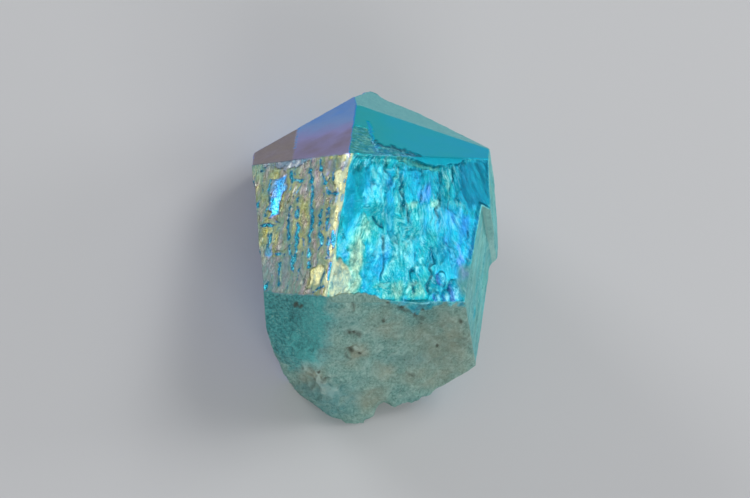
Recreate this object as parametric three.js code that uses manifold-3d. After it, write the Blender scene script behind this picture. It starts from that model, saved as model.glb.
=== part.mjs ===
// Blue aura quartz: a short, stout quartz point, broken from its matrix at one end.
//
// Millimetres, +Z up. The crystal lies on one of its six prism faces. Its long axis runs along
// +Y, from the broken end to the tip. The origin is under the middle of the stone, on the surface
// that it lies on.
//
// A crystal is the space inside its flats. Each flat is given by the way it faces and by its
// distance from the heart of the crystal, which is a point on the long axis:
//   turn  degrees around the long axis, from straight up towards +X
//   lean  degrees that the flat looks towards the tip, or towards the broken end when negative
//   out   distance from the heart
//   from  where along the long axis the flat starts, if it is only a stretch of a face
//   to    where along the long axis it ends

import * as THREE from 'three';
import { mergeVertices } from 'three/addons/utils/BufferGeometryUtils.js';
import Module from 'manifold-3d';

// ---------------------------------------------------------------- driving dimensions

const FOOT = 14.4; // from the heart down to the prism face that the stone lies on
const STRIP_STEP = 6.3; // where the growth layer on the right-hand face ends

const prismFaces = [
  { turn: -58.6, lean: 5.1, out: 21.17 },
  { turn: 13.4, lean: -0.8, out: 16.7 },
  { turn: 61.4, lean: 2.7, out: 19.9 },
  { turn: 61.4, lean: -6.7, out: 17.7, to: STRIP_STEP },
  { turn: 131.1, lean: -1.7, out: 18.77 },
  { turn: 180, lean: 0, out: FOOT },
  { turn: 243.5, lean: -8.6, out: 18.29 },
];

const tipFaces = [
  { turn: -47.82, lean: 36.83, out: 20.17 },
  { turn: -4.1, lean: 38.6, out: 18.55 },
  { turn: -2.4, lean: 41.3, out: 19.31 },
  { turn: 59.1, lean: 47.9, out: 26.81 },
  { turn: 119.4, lean: 39.8, out: 25.62 },
  { turn: 180, lean: 41.6, out: 27.44 },
  { turn: 270.9, lean: 46.8, out: 25.87 },
  { turn: 0, lean: 90, out: 35 }, // the worn point
];

// Low growth layers on the faces that look down and back, each set back from its own face.
const growthSteps = [
  { turn: 131.1, lean: -1.3, out: 18.55, to: 4.5 },
  { turn: 131.1, lean: -1.7, out: 18.35, to: -7.5 },
  { turn: 243.5, lean: -8.4, out: 18.05, to: 8.5 },
  { turn: 243.5, lean: -8.8, out: 17.85, to: -7 },
  { turn: 270.9, lean: 46.8, out: 25.67, from: 20 },
  { turn: 119.4, lean: 39.8, out: 25.42, from: 19 },
];

// The break across the root of the crystal: five main splits, then the hollows shelled out of it.
const breakFaces = [
  { turn: 61.3, lean: -64.3, out: 20.6 },
  { turn: -96.8, lean: -55.8, out: 26.49 },
  { turn: -122.8, lean: -57.5, out: 25.67 },
  { turn: 71, lean: -60.5, out: 22.28 },
  { turn: 150.9, lean: -15.9, out: 20.95 },
];

const shellHollows = [
  { centre: [7.9, -24.9, -14.5], radius: 3.9 }, // the bite out of the lower rim
  { centre: [20.1, -60.8, 13.6], radius: 46 }, // the wide dish across the middle
  { centre: [-30, -43, 6.8], radius: 26 }, // the glassy dish on the left
  { centre: [-16.4, -38, -12.6], radius: 18.4 }, // the splintered hollow under it
];

const FACE_BLOCK = 200; // side of the block that takes away what lies outside a flat
const ROUGH_BLOCK = 120; // side of the block that the crystal is cut from
const SHELL_DETAIL = 9; // subdivisions of the ball behind a shelled hollow

// ---------------------------------------------------------------- joining and cutting

const wasm = await Module();
wasm.setup();

function toSolid(geometry, matrix) {
  const bare = geometry.clone().applyMatrix4(matrix);
  bare.deleteAttribute('normal');
  bare.deleteAttribute('uv');
  const merged = mergeVertices(bare);
  return new wasm.Manifold(new wasm.Mesh({
    numProp: 3,
    vertProperties: new Float32Array(merged.attributes.position.array),
    triVerts: new Uint32Array(merged.index.array),
  }));
}

function toGeometry(solid) {
  const mesh = solid.getMesh();
  const geometry = new THREE.BufferGeometry();
  geometry.setAttribute('position', new THREE.BufferAttribute(mesh.vertProperties, 3));
  geometry.setIndex(new THREE.BufferAttribute(mesh.triVerts, 1));
  return geometry;
}

// ---------------------------------------------------------------- the crystal

// The block beyond a flat. Its inner side is the flat, and its local Y runs along the long axis.
function outside({ turn, lean, out, from = -FACE_BLOCK / 2, to = FACE_BLOCK / 2 }) {
  const facing = THREE.MathUtils.degToRad(turn);
  const pitch = THREE.MathUtils.degToRad(lean);
  const reach = to - from;
  const block = new THREE.BoxGeometry(FACE_BLOCK, reach, FACE_BLOCK);
  block.translate(0, (from + to) / 2, out + FACE_BLOCK / 2);
  const placing = new THREE.Matrix4().makeRotationY(facing);
  placing.multiply(new THREE.Matrix4().makeRotationX(-pitch));
  return toSolid(block, placing);
}

function ball({ centre, radius }) {
  const shape = new THREE.IcosahedronGeometry(radius, SHELL_DETAIL);
  return toSolid(shape, new THREE.Matrix4().makeTranslation(...centre));
}

let stone = toSolid(new THREE.BoxGeometry(ROUGH_BLOCK, ROUGH_BLOCK, ROUGH_BLOCK), new THREE.Matrix4());
for (const flat of [...prismFaces, ...tipFaces, ...growthSteps, ...breakFaces]) {
  stone = stone.subtract(outside(flat));
}
for (const hollow of shellHollows) {
  stone = stone.subtract(ball(hollow));
}

// ---------------------------------------------------------------- the part

const quartz = new THREE.MeshStandardMaterial({
  color: '#1a9fb4',
  roughness: 0.3,
  metalness: 0.15,
});

const crystal = new THREE.Mesh(toGeometry(stone), quartz);
crystal.name = 'quartz_crystal';

// Set the stone down: its foot on the surface, its box centred over the origin.
const box = new THREE.Box3().setFromObject(crystal);
const middle = box.getCenter(new THREE.Vector3());
crystal.position.set(-middle.x, -middle.y, -box.min.z);

const part = new THREE.Group();
part.add(crystal);

export default part;
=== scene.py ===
import math

import bmesh
import bpy
import numpy as np
from mathutils import Matrix, Vector
from mathutils.geometry import delaunay_2d_cdt


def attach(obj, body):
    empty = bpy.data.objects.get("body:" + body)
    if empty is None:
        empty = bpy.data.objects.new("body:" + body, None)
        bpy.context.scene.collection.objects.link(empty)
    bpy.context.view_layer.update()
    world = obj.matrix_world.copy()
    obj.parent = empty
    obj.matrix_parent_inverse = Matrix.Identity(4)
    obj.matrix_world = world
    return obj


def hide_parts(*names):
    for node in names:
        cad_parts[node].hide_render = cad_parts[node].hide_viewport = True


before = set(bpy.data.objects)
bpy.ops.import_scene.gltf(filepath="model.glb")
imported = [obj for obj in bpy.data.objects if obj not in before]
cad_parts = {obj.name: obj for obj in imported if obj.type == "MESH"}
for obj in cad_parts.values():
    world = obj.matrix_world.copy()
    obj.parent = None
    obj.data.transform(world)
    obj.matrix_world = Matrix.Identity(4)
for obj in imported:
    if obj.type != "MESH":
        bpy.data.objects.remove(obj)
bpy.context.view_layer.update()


# -------------------- the quartz
# One crystal of quartz, broken from the rock at its root and laid on one of its six prism faces.
# It grew as flat faces, so its skin starts as the faces of the solid, each filled with a close
# net of small triangles that the growth marks and the break are then pressed into.

HEART = np.array([-0.231, -4.384, 14.4])  # mm, the point of the long axis that all is measured from
CREASE_ROOM = 0.42  # share of a triangle's side that the net stays clear of a face's own edges
NET_WANDER = 0.17  # how far a net point strays from its place, as a share of a triangle's side
ROW_RISE = 0.866  # height of a triangle whose sides are 1
SAME_FACE = math.cos(math.radians(1.2))  # two flats closer than this in direction are one face
SLIVER = 2e-5  # mm, a triangle thinner than this is left out

# name: (turn around the long axis from straight up, lean towards the tip, side of a triangle in mm)
FACES = {
    "left": (-58.6, 5.1, 0.19),
    "right": (13.4, -0.8, 0.175),
    "strip_top": (61.4, 2.7, 0.3),
    "strip": (61.4, -6.7, 0.3),
    "low_right": (131.1, -1.7, 0.55),
    "foot": (180, 0, 1.2),
    "back_left": (243.5, -8.6, 0.55),
    "tip_left": (-47.82, 36.83, 0.42),
    "tip_right": (-4.1, 38.6, 0.36),
    "tip_right_rim": (-2.4, 41.3, 0.5),
    "tip_east": (59.1, 47.9, 0.6),
    "tip_low": (119.4, 39.8, 0.6),
    "tip_foot": (180, 41.6, 0.7),
    "tip_back": (270.9, 46.8, 0.6),
}
BREAK_NET = 0.29  # mm, the side of a triangle on the break
LEDGE_NET = 0.4  # mm, the same on the small ledges
BREAK_FROM = -14  # mm along the axis from the heart, behind it odd flats belong to the break


def facing(turn, lean):
    t, e = math.radians(turn), math.radians(lean)
    return np.array([math.sin(t) * math.cos(e), math.sin(e), math.cos(t) * math.cos(e)])


def face_axes(turn, lean):
    """The way a face looks, the direction across it, and the direction along it towards the tip."""
    n = facing(turn, lean)
    along = np.array([0.0, 1.0, 0.0]) - n[1] * n
    along /= np.linalg.norm(along)
    return n, np.cross(along, n), along


def face_name(n, middle):
    best, name = SAME_FACE, None
    for key, (turn, lean, _) in FACES.items():
        match = float(facing(turn, lean) @ n)
        if match > best:
            best, name = match, key
    if name:
        return name
    return "break" if middle[1] < BREAK_FROM else "ledge"


def net_size(name):
    return {"break": BREAK_NET, "ledge": LEDGE_NET}.get(name) or FACES[name][2]


def beside(u, w, line):
    """Distance from an open line of points, in mm."""
    near = np.full(len(u), 1e9)
    for (x0, y0), (x1, y1) in zip(line, line[1:]):
        size = (x1 - x0) ** 2 + (y1 - y0) ** 2
        t = np.clip(((u - x0) * (x1 - x0) + (w - y0) * (y1 - y0)) / size, 0, 1)
        near = np.minimum(near, np.hypot(u - x0 - t * (x1 - x0), w - y0 - t * (y1 - y0)))
    return near


def within(u, w, outline):
    """How far a point is inside an outline, in mm. Outside it is negative."""
    inside = np.zeros(len(u), bool)
    for (x0, y0), (x1, y1) in zip(outline, outline[1:] + outline[:1]):
        if y0 != y1:
            inside ^= ((y0 > w) != (y1 > w)) & (u < x0 + (w - y0) * (x1 - x0) / (y1 - y0))
    near = beside(u, w, outline + outline[:1])
    return np.where(inside, near, -near)


# the solid comes in as triangles, which are joined up into its flat faces again
rng = np.random.default_rng(7)
solid = bmesh.new()
solid.from_mesh(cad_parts["quartz_crystal"].data)
bmesh.ops.remove_doubles(solid, verts=solid.verts, dist=2e-6)
bmesh.ops.dissolve_limit(solid, angle_limit=math.radians(0.35), verts=solid.verts, edges=solid.edges)
solid.normal_update()

points = [np.array(v.co) * 1000 - HEART for v in solid.verts]
solid.verts.index_update()
solid.edges.index_update()
names = {}
for f in solid.faces:
    names[f.index] = face_name(np.array(f.normal), np.array(f.calc_center_median()) * 1000 - HEART)

# every edge is cut into equal steps, so that the nets of its two faces meet point for point
edge_points = {}
for e in solid.edges:
    step = min(net_size(names[f.index]) for f in e.link_faces)
    count = max(1, round(e.calc_length() * 1000 / step))
    a, b = points[e.verts[0].index], points[e.verts[1].index]
    row = [e.verts[0].index]
    for k in range(1, count):
        row.append(len(points))
        points.append(a + (b - a) * k / count)
    edge_points[e.index] = row + [e.verts[1].index]

triangles, tri_names, tri_normals = [], [], []
for f in solid.faces:
    name = names[f.index]
    step = net_size(name)
    n = np.array(f.normal)
    across = np.cross([0.0, 1.0, 0.0] if abs(n[1]) < 0.9 else [1.0, 0.0, 0.0], n)
    across /= np.linalg.norm(across)
    along = np.cross(n, across)
    ring = []
    for loop in f.loops:
        row = edge_points[loop.edge.index]
        ring += row[:-1] if row[0] == loop.vert.index else row[:0:-1]
    flat = np.array([[points[i] @ across, points[i] @ along] for i in ring])
    corners = [(points[v.index] @ across, points[v.index] @ along) for v in f.verts]
    low, high = np.min(corners, axis=0), np.max(corners, axis=0)
    rows = np.arange(low[1], high[1], step * ROW_RISE)
    cols = np.arange(low[0], high[0] + step, step)
    inner = [(x + (j % 2) * step / 2, y) for j, y in enumerate(rows) for x in cols]
    inner = np.array(inner).reshape(-1, 2)
    inner += rng.uniform(-NET_WANDER, NET_WANDER, inner.shape) * step
    inner = inner[within(inner[:, 0], inner[:, 1], corners) > CREASE_ROOM * step]
    first = len(points)
    depth = points[ring[0]] @ n
    points += list(inner[:, :1] * across + inner[:, 1:] * along + depth * n)
    numbers = ring + list(range(first, first + len(inner)))
    rim = [(k, (k + 1) % len(ring)) for k in range(len(ring))]
    net = delaunay_2d_cdt([Vector(p) for p in np.vstack([flat, inner])], rim, [], 1, 1e-7, True)
    origin = [numbers[source[0]] for source in net[3]]
    tris = np.array([list(tri) for tri in net[2]])
    spread = np.array([list(p) for p in net[0]])
    a, b, c = (spread[tris[:, k]] for k in range(3))
    area = np.abs((b - a)[:, 0] * (c - a)[:, 1] - (b - a)[:, 1] * (c - a)[:, 0])
    longest = np.max([np.linalg.norm(q, axis=1) for q in (a - b, b - c, c - a)], axis=0)
    whole = area > SLIVER * longest
    middle = (a + b + c) / 3
    inside = within(middle[:, 0], middle[:, 1], corners) > 0
    for tri in tris[whole & inside]:
        triangles.append([origin[k] for k in tri])
        tri_names.append(name)
        tri_normals.append(n)
solid.free()


def ways(at, tris):
    """The direction that each triangle looks in, with a length of twice its area."""
    a, b, c = (at[tris[:, k]] for k in range(3))
    return np.cross(b - a, c - a)


points, triangles = np.array(points), np.array(triangles)
tri_names, tri_normals = np.array(tri_names), np.array(tri_normals)
turned = (ways(points, triangles) * tri_normals).sum(1) < 0
triangles[turned] = triangles[turned][:, ::-1]

# what the coating and the stone look like at each point of the net, filled in by the sections below
film = np.full(len(points), 0.57)  # where the metal film is in its run of colours, from gold to cream
coat = np.ones(len(points))  # how much film there is: none on the break
# pale also holds painted glints and highlights, and deep holds painted shade in grooves, cracks, pits and
# hollows
pale = np.zeros(len(points))  # frosted and glinting edges
deep = np.zeros(len(points))  # dark bottoms of grooves
warm = np.zeros(len(points))  # pinkish-brown bare stone
glassy = np.zeros(len(points))  # smooth dark-teal bare stone
rust = np.zeros(len(points))  # iron stains
smooth = np.zeros(len(points))  # faces that kept their polish
grain = points / 0.5  # where a point is in the fine grain of its own face, which is one unit wide

seen = {str(name): np.unique(triangles[tri_names == name]) for name in sorted(set(tri_names))}
on_crease = np.bincount(np.concatenate(list(seen.values())), minlength=len(points)) > 1
crease_points = points[on_crease]
lift = {}  # face name: how far each of its points stands out from the flat, in mm


def flat_place(name, like=None):
    """The points of a face, and how far across and along it they lie, singly and as pairs."""
    turn, lean, _ = FACES[like or name]
    n, across, along = face_axes(turn, lean)
    p = points[seen[name]]
    u, w = p @ across, p @ along
    return seen[name], u, w, np.stack([u, w], 1)


# -------------------- right prism face
# The widest prism face. It grew too fast and unevenly, so it is made of hundreds of small chisel-
# shaped facets, long and upright, with deep grooves between them. The coating is cyan on it.

RIGHT_TOP = 0.12  # mm, the highest a facet may stand above the flat
RIGHT_AT_CREASE = 0.3  # how much of the relief is left at the edges of the face
FAN_AT = (-5, 30)  # the facets spread downwards like a fan from this point
FAN_REACH = 35  # mm below it, where they are as wide as they were drawn


# The last number given to chance, ripple, fluted, shards and tilted only picks one random pattern.


def mix(a, b, share):
    """The first where the share is 0, the second where it is 1, and a blend between."""
    return a * (1 - share) + b * share


def paint(values, new, share):
    """Gives the points in hand a new value, by a share of it."""
    values[ids] = mix(values[ids], new, share)


def at_least(values, floor):
    """Lifts the value at the points in hand to at least this much."""
    values[ids] = np.maximum(values[ids], floor)


def lay_grain(across, along, apart):
    """Lays the fine grain on the points in hand, with a number that sets the face apart."""
    grain[ids] = np.stack([across, along, np.full(len(ids), apart)], 1)


def ease(x, start, end):
    """0 up to the start, 1 from the end on, and a soft rise between them."""
    t = np.clip((x - start) / (end - start), 0, 1)
    return t * t * (3 - 2 * t)


def chance(cells, seed):
    """A number from 0 to 1 for each whole-number place, always the same for the same place."""
    full = np.uint64(0xFFFFFFFF)
    h = np.full(len(cells), (seed * 2654435761 + 97) & 0xFFFFFFFF, np.uint64)
    for k, prime in zip(range(cells.shape[1]), (374761393, 668265263, 2246822519)):
        own = (cells[:, k].astype(np.int64) & 0xFFFFFF).astype(np.uint64)
        h = (h + own * np.uint64(prime)) & full
        h = ((h ^ (h >> np.uint64(15))) * np.uint64(2246822519)) & full
    h = ((h ^ (h >> np.uint64(13))) * np.uint64(3266489917)) & full
    return (h ^ (h >> np.uint64(16))).astype(float) / 2**32


def ripple(p, size, seed):
    """Smooth random swelling from -1 to 1, with bumps about the given size."""
    q = p / size
    cell = np.floor(q)
    f = q - cell
    f = f * f * (3 - 2 * f)
    total = np.zeros(len(p))
    for corner in range(2 ** p.shape[1]):
        steps = np.array([(corner >> k) & 1 for k in range(p.shape[1])])
        weight = np.prod(np.where(steps == 1, f, 1 - f), axis=1)
        total += weight * chance((cell + steps).astype(int), seed)
    return total * 2 - 1


def spot(u, w, at, reach, core=0.55, rim=1):
    """1 in the core of an oval patch, fading to 0 at its rim. Both are shares of its reach."""
    return 1 - ease(np.hypot((u - at[0]) / reach[0], (w - at[1]) / reach[1]), core, rim)


def crease_gap(ids):
    """Distance of points from the nearest crease between two faces, up to 3 mm."""
    mine = points[ids]
    near = ((crease_points >= mine.min(0) - 0.1) & (crease_points <= mine.max(0) + 0.1)).all(1)
    gap = np.full(len(ids), 3.0)
    for corner in crease_points[near][::2]:  # every second one is close enough
        gap = np.minimum(gap, np.linalg.norm(mine - corner, axis=1))
    return gap


def press(name, height, top, at_crease, reach):
    """Gives a face its relief, cut off at top mm and fading to a share of itself at the creases."""
    lift[name] = np.minimum(height, top) * mix(at_crease, 1, ease(crease_gap(seen[name]), 0, reach))


def cells_near(u, w, wide, tall, slant, loose, seed):
    """Cells about wide x tall mm, turned by slant radians, their centres strewn by a share, loose.
    Gives the nine cells nearest each point, and the point's place in them across and along."""
    c, s = math.cos(slant), math.sin(slant)
    a, b = (u * c - w * s) / wide, (u * s + w * c) / tall
    for i in (-1, 0, 1):
        for j in (-1, 0, 1):
            cell = np.stack([np.floor(a) + i, np.floor(b) + j], 1).astype(int)
            x = a - (cell[:, 0] + 0.5 + loose * (chance(cell, seed) - 0.5))
            y = b - (cell[:, 1] + 0.5 + loose * (chance(cell, seed + 1) - 0.5))
            yield cell, x, y


def fluted(u, w, wide, tall, slant, lean, pitch, step, seed):
    """Shallow flutes about wide x tall mm with sharp ridges between them. Each is a dish that tips
    its own way, by slopes of up to lean across and pitch along. Gives the height, the flute's own
    tip across, and its number."""
    dish = lean * wide + 0.8 * pitch * tall + step
    low = np.full(len(u), 1e9)
    tip = np.zeros(len(u))
    number = np.zeros((len(u), 2), int)
    for cell, x, y in cells_near(u, w, wide, tall, slant, 0.7, seed):
        own = (chance(cell, seed + 2) * 2 - 1) * lean
        here = own * x * wide + (chance(cell, seed + 3) * 2 - 1) * pitch * y * tall
        here += (chance(cell, seed + 4) * 2 - 1) * step + dish * (x * x + y * y)
        less = here < low
        low = np.where(less, here, low)
        tip = np.where(less, own / lean, tip)
        number = np.where(less[:, None], cell, number)
    return low - 0.25 * dish, tip, number


ids, u, w, place = flat_place("right")
fan_u = FAN_AT[0] + (u - FAN_AT[0]) * FAN_REACH / (FAN_AT[1] - w)
bend_u = fan_u + 0.7 * ripple(place, 3.6, 11) + 0.2 * ripple(place, 1.3, 12)
bend_u += 0.05 * ripple(place, 0.5, 18)
bend_w = w + 1.2 * ripple(place, 4.1, 13) + 0.4 * ripple(place, 1.3, 14) + 0.1 * ripple(place, 0.5, 19)
drawn = place * [1, 0.4]  # ripples of this come out long and upright
slanting = np.clip(spot(u, w, (-11.5, 0.5), (5.5, 6.5)) + 0.8 * spot(u, w, (-4, -1), (4, 5.5)), 0, 1)
slab_height, slab_tip, _ = fluted(bend_u, bend_w, 3.2, 9.5, 0, 0.25, 0.03, 0.1, 31)
chisel_height, chisel_tip, _ = fluted(bend_u, bend_w, 1.2, 4.6, 0.1, 0.2, 0.03, 0.05, 41)
lean_height, lean_tip, _ = fluted(bend_u, bend_w, 1.25, 4.6, -0.6, 0.24, 0.04, 0.05, 51)
flake_height, flake_tip, flakes = fluted(bend_u, bend_w, 0.5, 1.9, 0.1, 0.16, 0.04, 0.02, 61)
height = -0.32 + 0.8 * slab_height + (1 - slanting) * 0.6 * chisel_height + slanting * 0.75 * lean_height
height += 0.5 * flake_height + 0.1 * ripple(drawn, 1.4, 40)
tip = 0.3 * slab_tip + 0.3 * (1 - slanting) * chisel_tip + 0.4 * slanting * lean_tip + 0.2 * flake_tip
tone = 0.04 * tip + 0.05 * ripple(place * [1, 0.35], 1.6, 52) + 0.03 * ripple(drawn, 0.7, 53)
glint = 0.06 + (chance(flakes, 55) > 0.9) * 0.35
# painted shade: the lower the relief, the darker the film, with some random change
dark = 0.1 + 0.35 * ease(-height, 0.45, 0.95) + 0.12 * ripple(drawn, 2, 56)
phase = 0.6 + tone
even = np.zeros(len(ids))

# patches that grew or broke their own way: outline, film, frosting and painted highlight,
# depth of colour and painted shade, how calm, and slope across
RIGHT_PATCHES = [
    ([(2.6, 1), (5.8, 2.2), (9.8, 1.8), (9.6, -3.6), (6.4, -8.8), (2.3, -4.8)], 0.51, 0.05, 0.3, 0.4, 0),
    ([(-0.1, -8), (4.9, -4.3), (7.3, -11), (1.3, -12)], 0.53, 0.1, 0.5, 0.5, 0),
    ([(-7.3, -2.4), (-1.7, -0.2), (-1.3, -6.6), (-6.7, -7.6)], 0.65, 0.22, 0.12, 0, 0),
    ([(-6.1, 5.4), (-2.1, 7.4), (-0.6, 7), (-0.4, 4.3), (-1.6, 0.8), (-3.7, 0.6), (-4.8, -0.9),
      (-6.1, 1.2)], 0.56, 0.04, 0.3, 0.6, 0),
    ([(-8.2, 3.8), (-6.1, 3.4), (-5.5, -0.8), (-3.9, -2.4), (-5.3, -5.2), (-7, -1.2), (-8, 0.5)],
      0.67, 0.15, 0.25, 0, 0),
    ([(-7.7, -8), (-5.6, -7.1), (-4.8, -8.7), (-6.6, -12.8), (-7.9, -17.2), (-10.3, -19.2),
      (-9.3, -15.4)], 0.67, 0.36, 0.15, 0, 0),
    ([(-12.8, -9.8), (-10.9, -10.2), (-9.3, -11), (-7.5, -10.6), (-9.2, -16.3), (-10.6, -19.6),
      (-13, -20), (-13.4, -17.5), (-12.5, -13.7)], 0.52, 0.05, 0.28, 0.4, 0),
    ([(-17, -0.6), (-13.6, 2.9), (-12, 3.4), (-11.6, 1.2), (-13.1, -4.8), (-14.7, -9), (-16.2, -12.2),
      (-17.2, -11.2), (-16.9, -6)], 0.57, 0, 0.6, 1, -0.1),
    ([(-12.3, 3.2), (-10.2, 4.9), (-8.9, 3.2), (-9.3, -2.7), (-10.8, -2.6), (-13.1, -4.5), (-13.5, -2.9),
      (-12.4, 0.3)], 0.58, 0.3, 0, 0.5, 0.16),
    ([(-9.3, 3.9), (-8.1, 4.3), (-8.1, -2.2), (-9, -2.2)], 0.49, 0, 0.3, 0.3, 0),
    ([(-15.1, -9), (-13.2, -6.2), (-15, -12.6), (-16.5, -17), (-17.9, -15.1)], 0.57, 0.35, 0, 0.4, 0.16),
    ([(-13.2, -6.1), (-11.5, -6.6), (-11.6, -9.8), (-13.2, -12.1), (-15.1, -14), (-15.8, -13.2)],
      0.72, 0.36, 0.1, 0, 0.05),
    ([(-18.6, -15.8), (-16.3, -15.9), (-14.5, -17), (-14.2, -22.4), (-18.6, -24)],
      0.975, 0, 0.56, 0.5, 0),
    ([(-15.2, -15), (-13.9, -11.4), (-12.5, -12.5), (-12.9, -16.8), (-13.7, -22), (-14.8, -22)],
      0.83, 0.3, 0.15, 0.1, 0.1),
    ([(-9.9, -8.5), (-8.2, -8.2), (-7.4, -9.6), (-8.7, -11.5), (-10.2, -13.4), (-11.4, -12.1)],
      0.58, 0.36, 0, 0.3, 0.12),
    ([(-5.7, -7.8), (-3.4, -6.8), (-3, -9.1), (-3.9, -12.4), (-5.2, -11.2)], 0.61, 0.4, 0, 0.2, 0.1),
    ([(-1.6, -0.2), (1.1, 2.1), (2.6, 0), (1.8, -2.8), (-0.3, -4.8)], 0.54, 0.3, 0, 0.3, 0.08),
    ([(-2.7, 2.3), (-1, 4.5), (-0.7, 1.4), (-2.3, 0.1)], 0.42, 0.2, 0.15, 0.4, 0),
    ([(2.8, 0.4), (5.6, 1.8), (6.1, -1), (3.5, -2.8)], 0.5, 0.25, 0, 0.4, 0.06),
    ([(4.7, -4.2), (5.8, -4.2), (7.5, -10.2), (6.3, -10.9)], 0.37, 0.35, 0, 0.5, 0.1),
    ([(-9.9, -17.6), (-2.9, -14.4), (-0.8, -16.3), (-8.9, -20.1)], 0.7, 0.35, 0.05, 0, 0),
    ([(-0.3, 2.1), (1.1, 2.5), (1.2, 0.9), (-0.1, 0.5)], 0.74, 0.7, 0, 0.3, 0.1),
    ([(-4.7, -0.2), (-2.9, 0.3), (-3, -1.4), (-4.5, -1.7)], 0.72, 0.6, 0, 0.3, 0.1),
    ([(5, 10.5), (7.6, 12.4), (8.9, 14.2), (12.4, 13.6), (12.4, 6.1), (10.2, 3), (6.9, 3), (4.9, 4.1)],
      0.54, 0, 0.82, 0.9, -0.06),
]
wander = 0.4 * ripple(place, 1.3, 17) + 0.3 * ripple(place * [1, 0.5], 0.6, 20)
for outline, hue, frost_and_highlight, depth_and_shade, calm, across in RIGHT_PATCHES:
    soft = 0.7 if frost_and_highlight < 0.6 else 0.3
    hold = ease(within(u + wander, w + 1.5 * wander, outline), -soft, soft + 0.1)
    phase = mix(phase, 0.57 + (0.75 if hue < 0.7 else 1) * (hue - 0.57) + tone, hold)
    glint = mix(glint, frost_and_highlight * (0.6 + 0.8 * chance(flakes, 61)), hold)
    dark = mix(dark, depth_and_shade + 0.5 * (dark - 0.1), hold)
    height += across * np.clip(u - np.mean(outline, axis=0)[0], -1.6, 1.6) * hold
    even = mix(even, calm, hold)
even *= 0.8
height = mix(height, -0.22, even)
smooth[ids] = even
lay_grain((bend_u + 0.5 * slanting * (w - 0.5)) / 0.3, bend_w / 0.8, 0)

# grooves: line, width, depth. Their bottoms are painted dark, as shade.
RIGHT_GROOVES = [
    ([(-9.2, 6.6), (-9.6, 3), (-8.6, 0.5)], 0.24, 0.4),
    ([(-6.9, 6.2), (-6.3, 2), (-5, -2.6), (-4.6, -6)], 0.26, 0.45),
    ([(-2.3, 6.6), (-2, 3.2), (-2.4, 0.4)], 0.2, 0.35),
    ([(1.2, 7.6), (1.3, 3.5), (0.7, 0.2), (1.4, -3.6)], 0.24, 0.45),
    ([(3.6, 9.2), (3.4, 5.2), (3, 1.2)], 0.2, 0.4),
    ([(5, 8.3), (5, 3.1)], 0.16, 0.3),
    ([(-11.6, -4.6), (-9.4, -8), (-8.6, -13), (-9.4, -18.5)], 0.26, 0.5),
    ([(-2.9, -8.4), (-3.3, -13.2), (-2.6, -17.6)], 0.24, 0.45),
    ([(0.4, -6.4), (0.3, -10.8), (-0.6, -15.8)], 0.24, 0.4),
    ([(6.9, -1.6), (6.8, -5.4), (8.2, -9.8)], 0.22, 0.35),
]
bend = 0.5 * ripple(place, 1.2, 15)
broken = 0.3 + 0.7 * ease(ripple(place, 1.6, 16), -0.3, 0.3)
for line, wide, down in RIGHT_GROOVES:
    cut = (1 - ease(beside(u + bend, w, line), 0, 1.6 * wide)) * broken
    height -= 0.5 * down * cut
    dark = np.maximum(dark, 0.8 * cut)

# rounded lumps low on the right: place and reach. Their tops get a painted highlight.
LUMPS = [
    ((2.2, -12.1), (1.1, 1.5)), ((4.9, -13.6), (1.3, 2.6)), ((1.5, -16), (1, 1.3)),
    ((3.2, -15.2), (0.8, 1.5)),
]
for at, reach in LUMPS:
    d = np.clip(1 - ((u - at[0]) / reach[0]) ** 2 - ((w - at[1]) / reach[1]) ** 2, 0, 1)
    lump = -0.42 + 0.4 * d ** 0.7 + 0.6 * flake_height + 0.06 * ripple(place, 0.7, 164)
    height = np.where(d > 0, np.maximum(height, lump), height)
    phase = np.where(d > 0, 0.57 - 0.14 * ease(at[0] - u + 0.4 * (at[1] - w), 0, 1.2), phase)
    dark = np.where(d > 0, 0.1, dark)
    glint = np.where(d > 0, 0.1 + 0.4 * ease(d, 0.6, 0.95), glint)

# the polished face above runs over onto this one in the middle, and ends in a low ledge; the run-over and
# the strip under the ledge are painted darker, as shade
LEDGE_LINE = [
    (-12, 6.9), (-8.9, 8.1), (-6.9, 7.4), (-3.8, 7.6), (-0.7, 7.9), (0.8, 8.4), (4.2, 10.2), (6.4, 11.9),
    (8, 13.2),
]
ledge_at = np.interp(u, *zip(*LEDGE_LINE))
over = ease(w - ledge_at + 0.2 * ripple(place, 0.8, 63), -0.1, 0.1)
over *= ease(u, -9.5, -8.8) * (1 - ease(u, 6.6, 7.4))
below = ease(w - ledge_at + 0.25 * ripple(place, 0.7, 64), -1, -0.8)
below *= (1 - over) * ease(u, -10.5, -9) * (1 - ease(u, 0.5, 2))
height = mix(height, 0.02, over)
height = mix(height, -0.5 + 0.3 * (height + 0.28), below)
phase = mix(phase, 0.6, over)
phase = mix(phase, 0.72 + tone, below)
glint *= (1 - over) * (1 - below)
dark = dark * (1 - over) * (1 - below) + 0.4 * below + 0.55 * over
at_least(smooth, over)

press("right", height, RIGHT_TOP, RIGHT_AT_CREASE, 0.7)
film[ids] = phase
pale[ids] = np.clip(glint, 0, 1)
deep[ids] = np.clip(dark, 0, 1)
bare_right = 0.55 * spot(u + 0.4 * ripple(place, 1.5, 182), w, (6.8, -10.8), (2, 3.8))


# -------------------- left prism face
# The next prism face round. It grew as flat plates with narrow upright cracks between them, so it
# is calmer than its neighbour. The film is thinnest here: gold and mauve, and teal in the cracks.

LEFT_TOP = 0.08  # mm, as on the right face
LEFT_AT_CREASE = 0.35


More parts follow.
